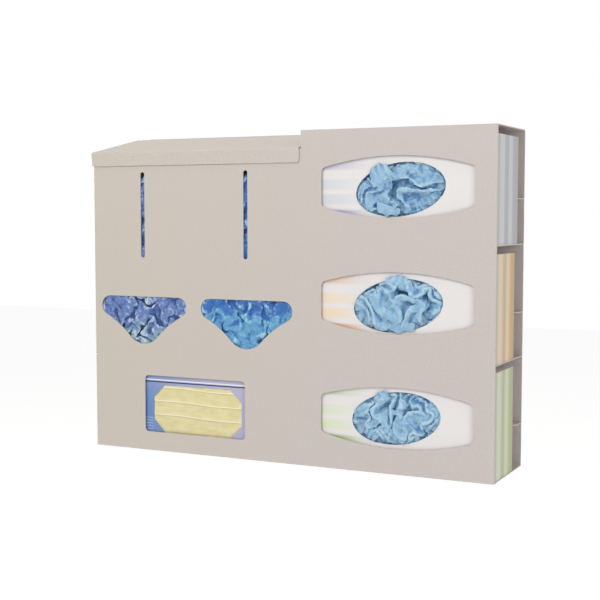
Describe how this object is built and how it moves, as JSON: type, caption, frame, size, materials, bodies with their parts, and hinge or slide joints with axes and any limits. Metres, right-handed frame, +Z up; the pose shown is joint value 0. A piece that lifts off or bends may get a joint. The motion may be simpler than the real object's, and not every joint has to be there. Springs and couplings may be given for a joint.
{
  "type": "disposable glove and protective wear dispenser",
  "caption": "Wall-hung sheet-metal dispenser: a column of glove boxes behind bowed windows, two lidded bins with bell-shaped windows and a side-loaded face mask compartment.",
  "frame": {"origin": "middle of the lower edge of the back face, on the wall plane", "axes": "+X to the right as seen from the front, +Y into the wall, +Z up; the front faces -Y"},
  "size_m": [0.5982, 0.1274, 0.4471],
  "materials": {
    "powder_coat": "satin powder coat",
    "hinge_steel": "plain",
    "carton_green": "coated board",
    "carton_orange": "coated board",
    "carton_lilac": "coated board",
    "glove_blue": "crumpled nitrile film",
    "mask_carton_blue": "coated board",
    "mask_yellow": "pleated nonwoven",
    "cap_blue": "crimped nonwoven"
  },
  "bodies": {
    "case": {"front_panel": "powder_coat", "back_panel": "powder_coat", "bottom_panel": "powder_coat", "column_wall": "powder_coat", "lower_shelf": "powder_coat", "upper_shelf": "powder_coat", "bin_floor": "powder_coat", "bin_divider": "powder_coat", "lower_box_stop": "powder_coat", "middle_box_stop": "powder_coat", "upper_box_stop": "powder_coat", "body_hinge_leaf": "hinge_steel", "hinge_pin": "hinge_steel", "lower_glove_carton": "carton_green", "middle_glove_carton": "carton_orange", "upper_glove_carton": "carton_lilac", "lower_glove_wad": "glove_blue", "middle_glove_wad": "glove_blue", "upper_glove_wad": "glove_blue", "mask_carton": "mask_carton_blue", "mask_stack": "mask_yellow", "left_bin_fill": "cap_blue", "right_bin_fill": "cap_blue"},
    "lid": {"lid": "powder_coat", "lid_hinge_leaf": "hinge_steel"}
  },
  "joints": [
    {"name": "lid_hinge", "type": "hinge", "parent": "case", "child": "lid", "pos_m": [0, -0.0037, 0.4446], "axis": [-1, 0, 0], "range_deg": [0, 100]}
  ]
}
